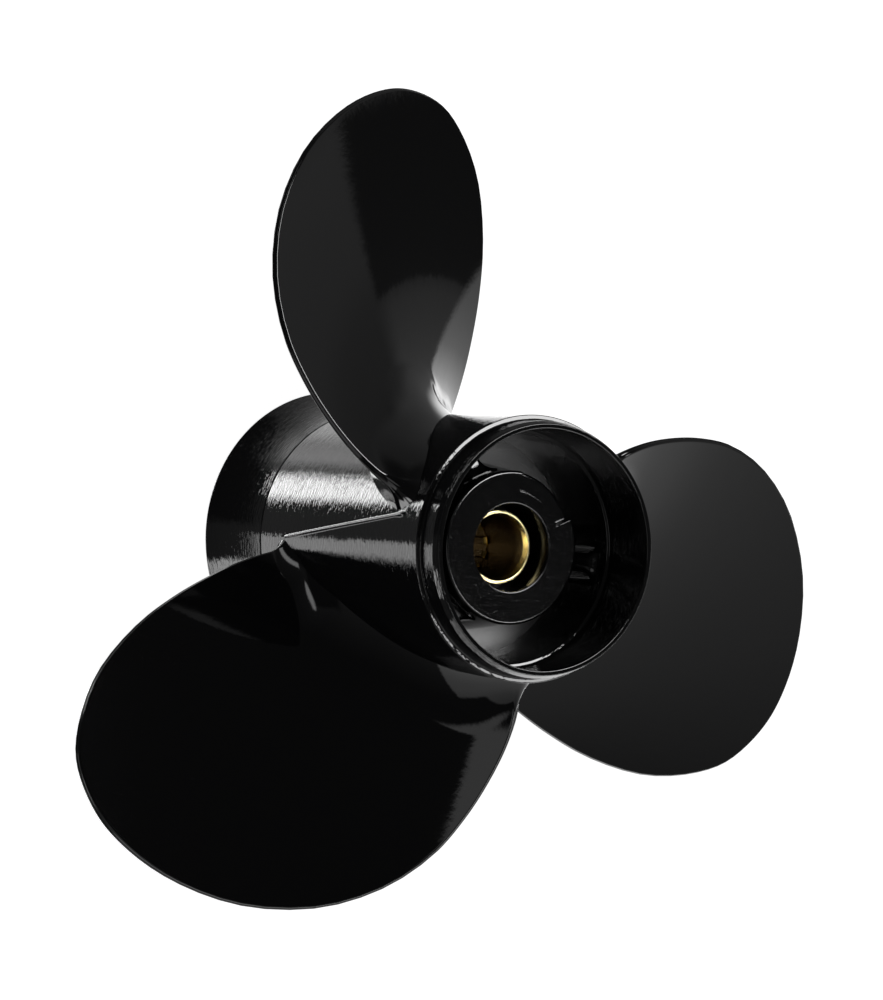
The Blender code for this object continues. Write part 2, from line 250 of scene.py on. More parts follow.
# The casting's parting seam runs from one blade's leading root end to the next blade's trailing root end
SEAM_FRONT_Z, SEAM_FRONT_CLOCK = 44.0, -86.6
SEAM_AFT_Z, SEAM_AFT_CLOCK = 113.5, -73.9
SEAM_HEIGHT, SEAM_WIDTH = 0.32, 0.42
SEAM_MORE_HEIGHT, SEAM_MORE_WIDTH = 0.8, 0.5              # shares added at its aft end
SEAM_RUN_IN, SEAM_RUN_OUT = 3.0, 1.5                      # ways over which its ends rise and fade
SEAM_GROWS = (4.0, 1.0)                                   # before its aft end, where it thickens
SEAM_REACH, SEAM_COLUMNS = 1.3, 27                        # half width and columns of its own strip
SEAM_FAR_COLUMNS, SEAM_FAR_POWER = 34, 1.2                # columns beyond it, and how they spread


def seam_clock(height):
    """Clock angle in radians of the first seam, straight between its two ends."""
    share = (height - SEAM_FRONT_Z) / (SEAM_AFT_Z - SEAM_FRONT_Z)
    return np.radians(SEAM_FRONT_CLOCK + (SEAM_AFT_CLOCK - SEAM_FRONT_CLOCK) * share)


def seam_ridge(aside, height):
    """Height of the seam: a round ridge, exp(-(distance / width)^2), thicker towards its aft end."""
    aft = ramp(height, SEAM_AFT_Z - SEAM_GROWS[0], SEAM_AFT_Z - SEAM_GROWS[1])
    rise = ramp(height, SEAM_FRONT_Z - SEAM_RUN_IN, SEAM_FRONT_Z)
    along = rise * (1 - ramp(height, SEAM_AFT_Z, SEAM_AFT_Z + SEAM_RUN_OUT))
    width = SEAM_WIDTH * (1 + SEAM_MORE_WIDTH * aft)
    return SEAM_HEIGHT * (1 + SEAM_MORE_HEIGHT * aft) * along * np.exp(-(aside / width) ** 2)


def make_barrel(material):
    """The barrel, whose grid columns lean with the seams, so that each ridge has columns of its own.

    A column's clock is seam(height) + its own offset, and the outer radius gains the ridge's height. Columns
    lie close together near a seam and wider apart away from it, and rows lie close at the seam's ends.
    """
    near = np.linspace(-SEAM_REACH, SEAM_REACH, SEAM_COLUMNS)
    sector = 360 / BLADES
    half = math.radians(sector / 2) * CREASE_R
    far = near[-1] + (half - near[-1]) * np.linspace(0, 1, SEAM_FAR_COLUMNS)[1:-1] ** SEAM_FAR_POWER
    aside = np.concatenate([[-half], -far[::-1], near, far])
    outer_z = np.concatenate([
        np.linspace(CREASE_Z, SEAM_FRONT_Z - SEAM_RUN_IN - 1, 6),
        np.linspace(SEAM_FRONT_Z - SEAM_RUN_IN, SEAM_AFT_Z - SEAM_GROWS[0] - 1, 30),
        np.linspace(SEAM_AFT_Z - SEAM_GROWS[0], SEAM_AFT_Z + SEAM_RUN_OUT + 0.5, 13),
        [RING_Z],
    ])
    down = np.linspace(STEP_Z - WALL_MARGIN, CREASE_Z + WALL_MARGIN, WALL_ROWS)
    step = [(MOUTH_R, STEP_Z + STEP_LEAN, STEP_ROUND), (STEP_R, STEP_Z, STEP_ROUND)]
    wall = [(r, z, 0) for r, z in zip(barrel_inner(down), down)] + [(PASSAGE_FRONT_R, CREASE_Z, 0)]
    inner = rounded([(BARREL_AFT_R, RING_Z, 0), (MOUTH_R, RING_Z, 0)] + step + wall)[1:]
    height = np.concatenate([outer_z, inner[:, 1]])
    radius = np.concatenate([barrel_outer(outer_z), inner[:, 0]])
    is_outer = np.arange(len(height)) < len(outer_z)
    ridge = seam_ridge(aside[None, :, None], height[None, None, :]) * is_outer
    turns = np.radians(np.arange(BLADES) * sector)[:, None, None]
    clock = seam_clock(height)[None, None, :] + (aside / CREASE_R)[None, :, None] + turns
    points = clocked(radius + ridge, clock, height)
    quads = grid_quads(BLADES * len(aside), len(height), True, True)
    make_piece("barrel_casting", points, quads, material, "barrel")


def make_front_bell(material):
    """The flared mouth: r = crease + slope s + flare s^power, with s the way from the crease to the rim."""
    share = np.linspace(0, 1, BELL_ROWS)
    steady = CREASE_SLOPE * CREASE_Z
    radius = CREASE_R + steady * share + (BELL_RIM_R - CREASE_R - steady) * share ** BELL_POWER
    height = CREASE_Z * (1 - share)
    outer = [(r, z, 0) for r, z in zip(radius[:-1], height[:-1])]
    inner_r = np.interp(share, (0, 1), (PASSAGE_FRONT_R, BELL_RIM_R - BELL_WALL))
    inner_r = inner_r + (radius - BELL_WALL - inner_r) * ramp(share, 0, BELL_WALL_SETTLES)
    inner = [(r, z, 0) for r, z in zip(inner_r[:-1], height[:-1])][::-1]
    groove = [
        (CREASE_R, CREASE_Z - GROOVE_NEAR, 0),
        (CREASE_R - GROOVE_DEPTH, CREASE_Z - GROOVE_BOTTOM, GROOVE_ROUND),
        (CREASE_R + GROOVE_FAR_RISE, CREASE_Z - GROOVE_FAR, 0),
    ]
    rim = [(radius[-1], 0, BELL_RIM_ROUND), (inner_r[-1], 0, BELL_MOUTH_ROUND)]
    points, quads = turned(rounded([outer[0]] + groove + outer[1:] + rim + inner), even_clocks(TURNED_STEPS))
    make_piece("front_bell_casting", points, quads, material, "front_bell")


def make_aft_ring(material):
    """The aft ring: barrel, raised land with a hollow at each foot, smooth band, round-shouldered rim.

    Each corner is its radius, height and rounding.
    """
    corners = [
        (BARREL_AFT_R, RING_Z, 0),
        (BARREL_AFT_R, LAND_FRONT_Z, 0.35),
        (LAND_R, LAND_FRONT_Z + LAND_LEAN, 0.28),
        (LAND_R, LAND_AFT_Z, 0.35),
        (BAND_R, LAND_AFT_Z + FOOT_LEAN, 0.6),
        (BAND_AFT_R, HUB_LENGTH - SHOULDER_Z, SHOULDER_ROUND),
        (RIM_R + RIM_LEAN_R, HUB_LENGTH - RIM_LEAN_Z, RIM_LEAN_ROUND),
        (RIM_R, HUB_LENGTH, 0.22),
        (MOUTH_R, HUB_LENGTH, 0.3),
        (MOUTH_R, RING_Z, 0),
    ]
    points, quads = turned(rounded(corners), even_clocks(TURNED_STEPS))
    make_piece("aft_ring_casting", points, quads, material, "aft_ring")


def make_inner_hub(material):
    """The inner hub: a turned outline whose aft face drops by the recess in a sector of its outer part.

    The face's rows lie close together where the recess has its steep inner side, and so do the columns at
    its two ends.
    """
    corners = [
        (CORE_FRONT_R, CORE_FRONT_Z, 1.2),
        (CORE_THROAT_R, THROAT_Z, 6.0),
        (CORE_AFT_R + 0.45, CORE_AFT_Z - 8, 0),
        (CORE_AFT_R + 0.25, CORE_AFT_Z - 4, 0),
        (CORE_AFT_R, CORE_AFT_Z, 0.9),
    ]
    margin, fine = 1.5, 0.14
    wall_outside = RECESS_R + 2 * RECESS_WALL
    corners += [(r, CORE_AFT_Z, 0) for r in np.linspace(CORE_AFT_R - margin, wall_outside, 6)]
    corners += [(wall_outside - fine * i, CORE_AFT_Z, 0) for i in range(1, 10)]
    corners += [
        (RECESS_R - margin, CORE_AFT_Z, 0),
        (LIP_R, CORE_AFT_Z, 0.5),
        (LIP_R, BUSH_SEAT_AFT_Z, 0.4),
        (BUSH_SEAT_R, BUSH_SEAT_AFT_Z, 0),
        (BUSH_SEAT_R, CORE_FRONT_Z, 0.6),
    ]
    outline = rounded(corners)
    spacing = 1.5                # degrees between columns away from the recess's ends
    near = np.linspace(-spacing, spacing, 16)
    degrees = np.concatenate([np.arange(0, 360, spacing)] + [end + near for end in RECESS_CLOCKS])
    degrees = np.unique(degrees)
    clock = np.radians(degrees)
    start, end = RECESS_CLOCKS
    inside = ramp(degrees, start - RECESS_END, start + RECESS_END)
    inside = inside * (1 - ramp(degrees, end - RECESS_END, end + RECESS_END))
    beyond = ramp(outline[:, 0], RECESS_R - RECESS_WALL, RECESS_R + RECESS_WALL)
    near_face = ramp(outline[:, 1], CORE_AFT_Z - RECESS_FADE[0], CORE_AFT_Z - RECESS_FADE[1])
    drop = RECESS_DEPTH * inside[:, None] * (beyond * near_face)[None, :]
    points = clocked(outline[None, :, 0], clock[:, None], outline[None, :, 1] - drop)
    quads = grid_quads(len(clock), len(outline), True, True)
    make_piece("inner_hub_casting", points, quads, material, "inner_hub")


def make_rubber_bush(material):
    """A turned ring with rounded ends, whose front end bulges a little, as pressed rubber does."""
    middle = (BUSH_R + SLEEVE_R) / 2
    corners = [
        (BUSH_R, BUSH_FRONT_Z, BUSH_ROUND),
        (BUSH_R, BUSH_AFT_Z, BUSH_ROUND),
        (middle, BUSH_AFT_Z, 0),
        (SLEEVE_R, BUSH_AFT_Z, BUSH_LIP_ROUND),
        (SLEEVE_R, BUSH_FRONT_Z, BUSH_LIP_ROUND),
        (middle, BUSH_FRONT_Z - BUSH_BULGE, 0),
    ]
    points, quads = turned(rounded(corners), even_clocks(TURNED_STEPS // 3))
    make_piece("rubber_bush_moulding", points, quads, material, "rubber_bush")


def make_spline_sleeve(material):
    """The sleeve: a turned outline whose splined stretch swings between root and tip radius.

    Over one tooth the radius follows root + (tip - root) * tooth(angle), where tooth is 1 on the tip, 0 in
    the slot and a smooth ramp on each flank.
    """
    outline = rounded([
        (CONE_R, SLEEVE_FRONT_Z, 0),
        (SLEEVE_R, SLEEVE_FRONT_Z, 0.5),
        (SLEEVE_R, SLEEVE_AFT_Z, 0.55),
        (COUNTERBORE_R + CHAMFER_R, SLEEVE_AFT_Z, CHAMFER_ROUND),
        (COUNTERBORE_R, SLEEVE_AFT_Z - CHAMFER_DEPTH, CHAMFER_ROUND),
        (COUNTERBORE_R, COUNTERBORE_Z + 1.5, 0),
    ])
    cone_end = SLEEVE_FRONT_Z + CONE_DEPTH
    splined_z = np.array([COUNTERBORE_Z + 0.3, COUNTERBORE_Z, COUNTERBORE_Z - 0.3, COUNTERBORE_Z - 1,
                          cone_end + 1, cone_end])
    depth = np.array([0.0, 0.0, 1.0, 1.0, 1.0, 0.0])
    base = np.array([COUNTERBORE_R] + [SPLINE_ROOT_R] * 4 + [COUNTERBORE_R])
    height = np.concatenate([outline[:, 1], splined_z])
    radius = np.concatenate([outline[:, 0], base])
    weight = np.concatenate([np.zeros(len(outline)), depth])
    clock = even_clocks(SPLINE_TEETH * TOOTH_STEPS)
    phase = np.abs((clock * SPLINE_TEETH / (2 * math.pi) + 0.5) % 1 - 0.5)
    tooth = 1 - ramp(phase, *TOOTH_FLANK)
    radius = radius[None, :] + (SPLINE_TIP_R - SPLINE_ROOT_R) * weight[None, :] * tooth[:, None]
    points = clocked(radius, clock[:, None], height[None, :])
    quads = grid_quads(len(clock), len(height), True, True)
    make_piece("spline_sleeve_machined", points, quads, material, "spline_sleeve")


def make_rib(number, material):
    """A web between inner hub and barrel: a rounded rectangle carried outwards, flaring at both ends.

    With x the distance to the nearer wall, the fillet adds f - sqrt(f^2 - (f - x)^2) to every side of the
    rectangle while x is under f. The path starts and ends a little inside the walls, and shrinks to a point
    there.
    """
    half_t = RIB_THICKNESS / 2
    middle, half_z = (RIB_FRONT_Z + RIB_AFT_Z) / 2, (RIB_AFT_Z - RIB_FRONT_Z) / 2
    up = np.linspace(-half_z + RIB_CLEAR, half_z - RIB_CLEAR, RIB_SIDE_ROWS)
    corners = [(half_t, -half_z, RIB_EDGE)] + [(half_t, z, 0) for z in up] + [(half_t, half_z, RIB_EDGE)]
    loop = rounded(corners + [(-x, -z, rounding) for x, z, rounding in corners], RIB_EDGE_STEPS)
    height = middle + loop[:, 1]
    inner, outer = core_outer(height) - RIB_SUNK, barrel_inner(height) + RIB_SUNK
    way = 0.5 - 0.5 * np.cos(np.linspace(0, math.pi, RIB_WAY_ROWS))
    reach = inner[None, :] + (outer - inner)[None, :] * way[:, None]
    to_wall = np.clip(np.minimum(reach - inner, outer - reach) - RIB_SUNK, 0, RIB_FILLET)
    flare = RIB_FILLET - np.sqrt(RIB_FILLET ** 2 - (RIB_FILLET - to_wall) ** 2)
    across = loop[:, 0] + flare * loop[:, 0] / half_t
    lift = RIB_LIFT * flare * (loop[:, 1] / half_z) ** RIB_LIFT_POWER
    inward = np.sqrt(reach ** 2 - across ** 2)
    turned_by = math.radians(RIB_CLOCK + (number - 1) * 360 / BLADES)
    points = clocked(np.hypot(across, inward), np.arctan2(across, inward) + turned_by, height + lift)
    ends = [np.broadcast_to(points[row].mean(axis=0), points[:1].shape) for row in (0, -1)]
    points = np.concatenate([ends[0], points, ends[1]])
    quads = grid_quads(*points.shape[:2], False, True)
    make_piece(f"rib_{number}_casting", points, quads, material, f"rib_{number}")


def helicoid(clock):
    """Height of the helicoid at a clock angle in radians."""
    return BLADE_Z - PITCH * clock / (2 * math.pi)


def helix_slope(radius):
    """Fall of the helicoid for each millimetre along the clock."""
    return PITCH / (2 * math.pi * radius)


def blade_edge_curve():
    """The blade's edge as dense arrays: knot count, radius, clock angle and the unit step inwards.

    The spline runs through (sideways, upward) places, so that it is round at the tip. The inward step lies
    in the helicoid, square to the edge: its radial part and its part along the clock.
    """
    clock = np.radians(BLADE_EDGE[:, 1])
    knots = np.stack([BLADE_EDGE[:, 0] * np.sin(clock), BLADE_EDGE[:, 0] * np.cos(clock)], axis=-1)
    t = np.linspace(0, len(knots) - 1, EDGE_SAMPLES)
    x, y = spline(knots, t).T
    radius, clock = np.hypot(x, y), np.arctan2(x, y)
    tangent = np.gradient(clocked(radius, clock, helicoid(clock)), axis=0)
    slope = helix_slope(radius)
    along = np.stack([np.cos(clock), -np.sin(clock), np.zeros_like(clock)], axis=-1)
    normal = slope[:, None] * along + np.array([0, 0, 1.0])
    inward = np.cross(tangent, normal)
    inward /= np.linalg.norm(inward, axis=-1)[:, None]
    outward = np.stack([np.sin(clock), np.cos(clock), np.zeros_like(clock)], axis=-1)
    return t, radius, clock, (inward * outward).sum(-1), (inward * along).sum(-1)


EDGE_T, EDGE_R, EDGE_C, EDGE_IN_R, EDGE_IN_C = blade_edge_curve()
HALVES = (EDGE_T <= TIP_INDEX, EDGE_T >= TIP_INDEX)       # trailing and leading halves of the edge


def edge_at(t):
    """Radius, clock angle and inward step of the edge at knot count t."""
    return [np.interp(t, EDGE_T, values) for values in (EDGE_R, EDGE_C, EDGE_IN_R, EDGE_IN_C)]


def edge_at_radius(half, radius):
    """The same where the trailing (0) or leading (1) half of the edge crosses a radius.

    Near the root the inward step runs along the section, without a radial part.
    """
    part = HALVES[half]
    radii, counts = EDGE_R[part], EDGE_T[part]
    order = slice(None) if half == 0 else slice(None, None, -1)
    t = np.interp(radius, radii[order], counts[order])
    _, clock, in_r, in_c = edge_at(t)
    level = 1 - ramp(radius, ROOT_R + TURN_START, ROOT_R + TURN_END)
    in_r = in_r * (1 - level)
    in_c = np.sign(in_c) * np.sqrt(np.clip(1 - in_r ** 2, 0, 1)) / np.hypot(1, helix_slope(radius))
    return radius, clock, in_r, in_c


def edge_thickness(radius):
    """The edge is thin over most of the blade and thickens towards the root."""
    return EDGE_THICKNESS + EDGE_ROOT_EXTRA * np.exp(-(radius - ROOT_R) / EDGE_ROOT_FADE)


def most_thickness(radius):
    """Thickness at mid chord."""
    span = np.clip((radius - ROOT_R) / (TIP_R - ROOT_R), 0, 1)
    return ROOT_THICKNESS + (TIP_THICKNESS - ROOT_THICKNESS) * span ** SPAN_POWER


# Half of a section's outline, from mid chord on the pressure face round one edge to mid chord on the back.
# Each point has a way towards mid chord, an inset from the edge in corner radii, an inset in millimetres,
# a sink below its own face in corner radii and a share of the way from the pressure face to the back.
INSET, LEAD_INSET = 1.8, 0.25
FACE_STEPS, ARC_STEPS, STRIP_STEPS = 20, 6, 4
FACE_POWER = 1.5                 # how much closer the face's points lie near the edge
EDGE_BULGE = 0.18                # of the edge face beyond the edge, in corner radii
CORNER_SHARE, CORNER_MOST = 0.3, 0.9         # a corner's radius: share of the edge's thickness, and limit


def half_section():
    """Ways, both insets, sinks and sides of the half outline's points."""
    way = np.linspace(1, 0, FACE_STEPS + 1) ** FACE_POWER
    turn = np.linspace(0, math.pi / 2, ARC_STEPS + 1)
    strip = np.linspace(0, 1, STRIP_STEPS + 1)[1:-1]
    face = [way, 0 * way, np.full_like(way, INSET), 0 * way, 0 * way]
    lead = [np.zeros(1), np.ones(1), np.full(1, LEAD_INSET), np.zeros(1), np.zeros(1)]
    arc = [0 * turn, 1 - np.sin(turn), 0 * turn, 1 - np.cos(turn), 0 * turn]
    edge = [0 * strip, -EDGE_BULGE * np.sin(math.pi * strip), 0 * strip, np.ones_like(strip), strip]
    front = [np.concatenate(rows) for rows in zip(face, lead, arc)]
    back = [row[::-1] for row in front]
    back[4] = back[4] + 1
    return [np.concatenate(rows) for rows in zip(front, edge, back)]


WAY, INSET_ARC, INSET_MM, SINK, SIDE = half_section()
COUNT = len(WAY)


def section_points(edge_r, edge_c, in_r, in_c, mid_r, mid_c, half):
    """Radius, clock angle, height and chord share of half a section's points.

    They follow from the section's edge place and mid-chord place. A point goes inset along the inward step,
    then its way towards mid chord. With w its share of the way over half the chord, the blade there is
    edge + (most - edge) (w (2 - w))^power thick, and the point is sunk that deep below the helicoid, along
    the normal of the unrolled section. The edge face leans over the back.
    """
    corner = np.minimum(CORNER_SHARE * edge_thickness(edge_r), CORNER_MOST)
    inset = INSET_ARC * corner + INSET_MM + EDGE_LEAN * EDGE_THICKNESS * (0.5 - SIDE)
    near_r = edge_r + inset * in_r
    near_c = edge_c + inset * in_c / edge_r
    radius = near_r + (mid_r - near_r) * WAY
    clock = near_c + (mid_c - near_c) * WAY
    slope = helix_slope(radius)
    size = np.hypot(1, slope)
    length = np.hypot(mid_r - edge_r, (mid_c - edge_c) * (mid_r + edge_r) / 2 * size)
    w = np.clip((np.clip(inset, 0, None) + (length - inset) * WAY) / length, 0, 1)
    edge_t = edge_thickness(edge_r)
    thickness = edge_t + (most_thickness(radius) - edge_t) * (w * (2 - w)) ** ARCH_POWER
    sink = SINK * corner
    depth = (1 - SIDE) * sink + SIDE * (thickness - sink) - EDGE_THICKNESS / 2
    share = w / 2 if half == 0 else 1 - w / 2
    return radius, clock - depth * slope / (radius * size), helicoid(clock) - depth / size, share


def whole_sections(radius):
    """Sections at constant radius, both halves joined to a loop. The radius has one value a loop point."""
    loops = []
    mid = [edge_at_radius(half, radius)[1] for half in (0, 1)]
    for half, part in enumerate((slice(0, COUNT), slice(COUNT, 2 * COUNT))):
        r = radius[:, part]
        edge_r, edge_c, in_r, in_c = edge_at_radius(half, r)
        mid_c = (mid[0][:, part] + mid[1][:, part]) / 2
        loops.append(section_points(edge_r, edge_c, in_r, in_c, r, mid_c, half))
    return [np.concatenate([a, b], axis=1) for a, b in zip(*loops)]


# Sections are computed in halves, trailing then leading; a loop runs through both without their shared ends
LOOP = np.concatenate([np.arange(COUNT), np.arange(2 * COUNT - 2, COUNT, -1)])
HALF_COLUMNS = np.concatenate([np.arange(COUNT), (2 * COUNT - 2 - np.arange(COUNT)) % (2 * COUNT - 2)])

SPLIT_R, FAN_R = 98.0, 112.0     # where the tip rows start, and the mid-chord place they fan round
FAN_SETTLES = 0.4                # share of the tip rows after which that place stands still
FILLET_ROWS, MID_ROWS, TIP_ROWS = 18, 26, 22
RUNG_POINTS = 9
FILLET_FOOT, FILLET_SUNK = math.radians(41), math.radians(8)
FOOT_LEAVES_LAND, FOOT_ON_BAND = 0.7, 0.9    # before and after the land's aft end

# Reach of the root fillets along the barrel, from the trailing end of the chord to the leading end
FILLET_SHARES = (0, 0.08, 0.16, 0.37, 0.52, 0.69, 0.75, 0.82, 0.9, 1)
PRESSURE_REACH = (5, 7.6, 8.6, 8.7, 9.0, 7.6, 5.8, 4.3, 4.0, 2.5)
BACK_REACH = (3, 4, 4.5, 5, 5, 4.5, 4, 3.5, 3, 2.5)


def foot_base(height):
    """Radius that a root fillet ends on: the barrel, then the band beyond the aft ring's land."""
    down = ramp(height, LAND_AFT_Z - FOOT_LEAVES_LAND, LAND_AFT_Z + FOOT_ON_BAND)
    return barrel_outer(height) - (BARREL_AFT_R - BAND_R) * down


def blade_grid():
    """The whole skin of the first blade: rows of closed loops from the root to the tip.

    Root rows: the barrel was turned after casting and cuts the fillet's arc off at an angle. With t from
    that angle f to a quarter turn on the blade and R the arc's radius, a point stands R (cos f - cos t) above
    the barrel and R (1 - sin t) off the section, along the section's outward normal on the unrolled barrel.
    The first rows have t under f and lie inside the barrel. Middle rows are sections of constant radius. Tip
    rows run from places along the edge towards a mid-chord line that stops short of the tip, so that they
    fan round it.
    """
    _, foot_c, foot_z, share = whole_sections(np.full((1, 2 * COUNT), ROOT_R))
    unrolled = np.stack([ROOT_R * foot_c[0, LOOP], foot_z[0, LOOP]], axis=-1)
    step = np.roll(unrolled, -1, axis=0) - np.roll(unrolled, 1, axis=0)
    normal = np.stack([step[:, 1], -step[:, 0]], axis=-1) / np.linalg.norm(step, axis=1)[:, None]
    normal *= np.sign(((unrolled - unrolled.mean(axis=0)) * normal).sum())
    share = share[0, LOOP]
    side = np.concatenate([SIDE, SIDE])[LOOP]
    reach = (1 - side) * curve_through(FILLET_SHARES, PRESSURE_REACH, share)
    reach = reach + side * curve_through(FILLET_SHARES, BACK_REACH, share)
    arc = reach / (1 - math.sin(FILLET_FOOT))
    rise = arc * math.cos(FILLET_FOOT)

    t = np.linspace(FILLET_FOOT - FILLET_SUNK, math.pi / 2, FILLET_ROWS + 1)[:, None]
    lift = arc * (math.cos(FILLET_FOOT) - np.cos(t))
    off = arc * (1 - np.sin(t))
    _, clock, height, _ = (values[:, LOOP] for values in whole_sections(ROOT_R + lift[:, HALF_COLUMNS]))
    height = height + off * normal[:, 1]
    clock = clock + off * normal[:, 0] / (ROOT_R + lift)
    radius = ROOT_R + lift + (foot_base(height) - ROOT_R) * (1 - lift / rise) ** 2
    root_rows = (radius, clock, height)

    g = np.linspace(0, 1, MID_ROWS + 1)[1:, None]
    radius = ROOT_R + rise + (SPLIT_R - ROOT_R - rise) * g
    mid_rows = [values[:, LOOP] for values in whole_sections(radius[:, HALF_COLUMNS])[:3]]

    s = np.linspace(0, 1, TIP_ROWS + 1)[1:, None]
    settle = np.clip(s / FAN_SETTLES, 0, 1)
    settle = settle * (2 - settle)
    mid_r = SPLIT_R + (FAN_R - SPLIT_R) * settle
    mid_start, mid_end = (sum(edge_at_radius(half, np.array([[r]]))[1] for half in (0, 1)) / 2
                          for r in (SPLIT_R, FAN_R))
    mid_c = mid_start + (mid_end - mid_start) * settle
    halves = []
    for half, sign in ((0, 1), (1, -1)):
        part = HALVES[half]
        split_t = np.interp(sign * SPLIT_R, sign * EDGE_R[part], EDGE_T[part])
        place = split_t + (TIP_INDEX - split_t) * np.sin(s * math.pi / 2)
        halves.append(section_points(*edge_at(place), mid_r, mid_c, half))
    tip_rows = [np.concatenate(pair, axis=1)[:, LOOP] for pair in zip(*halves)][:3]
    return [np.vstack(parts) for parts in zip(root_rows, mid_rows, tip_rows)]


def make_blade(number, grid, material):
    """One blade, turned to its place. Rungs across the sunk foot close it, from pressure side to back."""
    grid = [values.copy() for values in grid]
    grid[1] += math.radians((number - 1) * 360 / BLADES)
    points = clocked(*grid)
    rows, loop = points.shape[:2]
    quads = grid_quads(rows, loop, False, True)
    quarter = (COUNT - 1) // 2
    pressure = np.concatenate([np.arange(quarter, -1, -1), np.arange(loop - 1, loop - quarter - 1, -1)])
    back = np.where(pressure < COUNT, COUNT - 1 - pressure, 3 * COUNT - 3 - pressure)
    across = np.linspace(0, 1, RUNG_POINTS)
    rungs = [values[0, pressure, None] + (values[0, back] - values[0, pressure])[:, None] * across
             for values in grid]
    quads = np.vstack([quads, grid_quads(*rungs[0].shape) + rows * loop])
    points = np.vstack([points.reshape(-1, 3), clocked(*rungs).reshape(-1, 3)])
    make_piece(f"blade_{number}_casting", points, quads, material, f"blade_{number}")


def linear(hex_colour):
    """Scene-linear colour with alpha from an sRGB hex value."""
    s = np.array([int(hex_colour[i:i + 2], 16) for i in (1, 3, 5)]) / 255
    return (*np.where(s <= 0.04045, s / 12.92, ((s + 0.055) / 1.055) ** 2.4).tolist(), 1.0)


def add(tree, kind, settings=None, **inputs):
    """A node with its settings and inputs.

    An input's name has underscores for spaces, or is its number after an underscore. A socket is linked.
    """
    node = tree.nodes.new(kind)
    for name, value in (settings or {}).items():
        setattr(node, name, value)
    for name, value in inputs.items():
        socket = node.inputs[int(name[1:]) if name[0] == "_" else name.replace("_", " ")]
        if isinstance(value, bpy.types.NodeSocket):
            tree.links.new(value, socket)
        else:
            socket.default_value = value
    return node


def new_material(name):
    """An empty material, its tree, and its pattern space in metres, which is the object's own."""
    material = bpy.data.materials.new(name)
    material.use_nodes = True
    tree = material.node_tree
    tree.nodes.clear()
    return material, tree, add(tree, "ShaderNodeTexCoord").outputs["Object"]


def finish_material(tree, shader):
    """A shader's output as the material's surface."""
    add(tree, "ShaderNodeOutputMaterial", Surface=shader)


def principled(tree, colour, roughness, normal, **more):
    """A Principled surface. Metal is given no IOR and keeps the default."""
    shader = add(tree, "ShaderNodeBsdfPrincipled", Base_Color=colour, Roughness=roughness, Normal=normal,
                 **more)
    finish_material(tree, shader.outputs["BSDF"])


def maths(tree, operation, *values):
    """The result of one mathematical step."""
    inputs = {f"_{i}": value for i, value in enumerate(values)}
    return add(tree, "ShaderNodeMath", {"operation": operation}, **inputs).outputs[0]


def mix_numbers(tree, share, first, second):
    """The first number where share is 0, the second where it is 1."""
    return add(tree, "ShaderNodeMix", _0=share, _2=first, _3=second).outputs[0]


def mix_colours(tree, share, first, second):
    """The first colour where share is 0, the second where it is 1."""
    return add(tree, "ShaderNodeMix", {"data_type": "RGBA"}, _0=share, _6=first, _7=second).outputs[2]


def remap(tree, value, **ends):
    """A value carried evenly from one span to another. A span that isn't given runs from 0 to 1."""
    return add(tree, "ShaderNodeMapRange", Value=value, **ends).outputs["Result"]


def below(tree, value, limit_mm, soft_mm):
    """1 under a limit and 0 over it, changing evenly over soft_mm on both sides of it."""
    return remap(tree, value, From_Min=(limit_mm + soft_mm) * MM, From_Max=(limit_mm - soft_mm) * MM)


def scaled(tree, place, factors):
    """Pattern space multiplied along each axis. A factor above 1 makes a pattern finer along that axis."""
    node = add(tree, "ShaderNodeVectorMath", {"operation": "MULTIPLY"}, _0=place, _1=factors)
    return node.outputs["Vector"]


def noise(tree, place, size_mm, detail=2.0, roughness=0.5):
    """Noise whose lumps are about size_mm apart."""
    return add(tree, "ShaderNodeTexNoise", Vector=place, Scale=1 / (size_mm * MM), Detail=detail,
               Roughness=roughness).outputs["Fac"]


def bump(tree, depth_mm, height, normal=None, strength=1.0):
    """The shading normal after a height pattern depth_mm deep, on top of an earlier normal."""
    earlier = {} if normal is None else {"Normal": normal}
    return add(tree, "ShaderNodeBump", Strength=strength, Distance=depth_mm * MM, Height=height,
               **earlier).outputs["Normal"]


PAINT_IOR, RUBBER_IOR = 1.5, 1.52
PEEL_MM = 0.006                  # depth of the paint's orange peel
MARKS_FINER = 6                  # how much finer the tool marks are along the axis than round it
SKIN_R = 38.4                    # the passages' walls lie inside this radius
SKIN_GRAIN_MM, SKIN_ROUGHNESS = 0.08, 0.22
BRASS_ROUGHNESS, BRASS_MARK_MM = 0.25, 0.01
BRASS_MARK_SCALE = (0.02, 0.02, 1.0)         # draws the noise out across the axis, into rings
RUBBER_GRAIN_MM = 0.03
BORE_DARKENS = 6                 # below the sleeve's aft end, where its bore has reached its darker brown


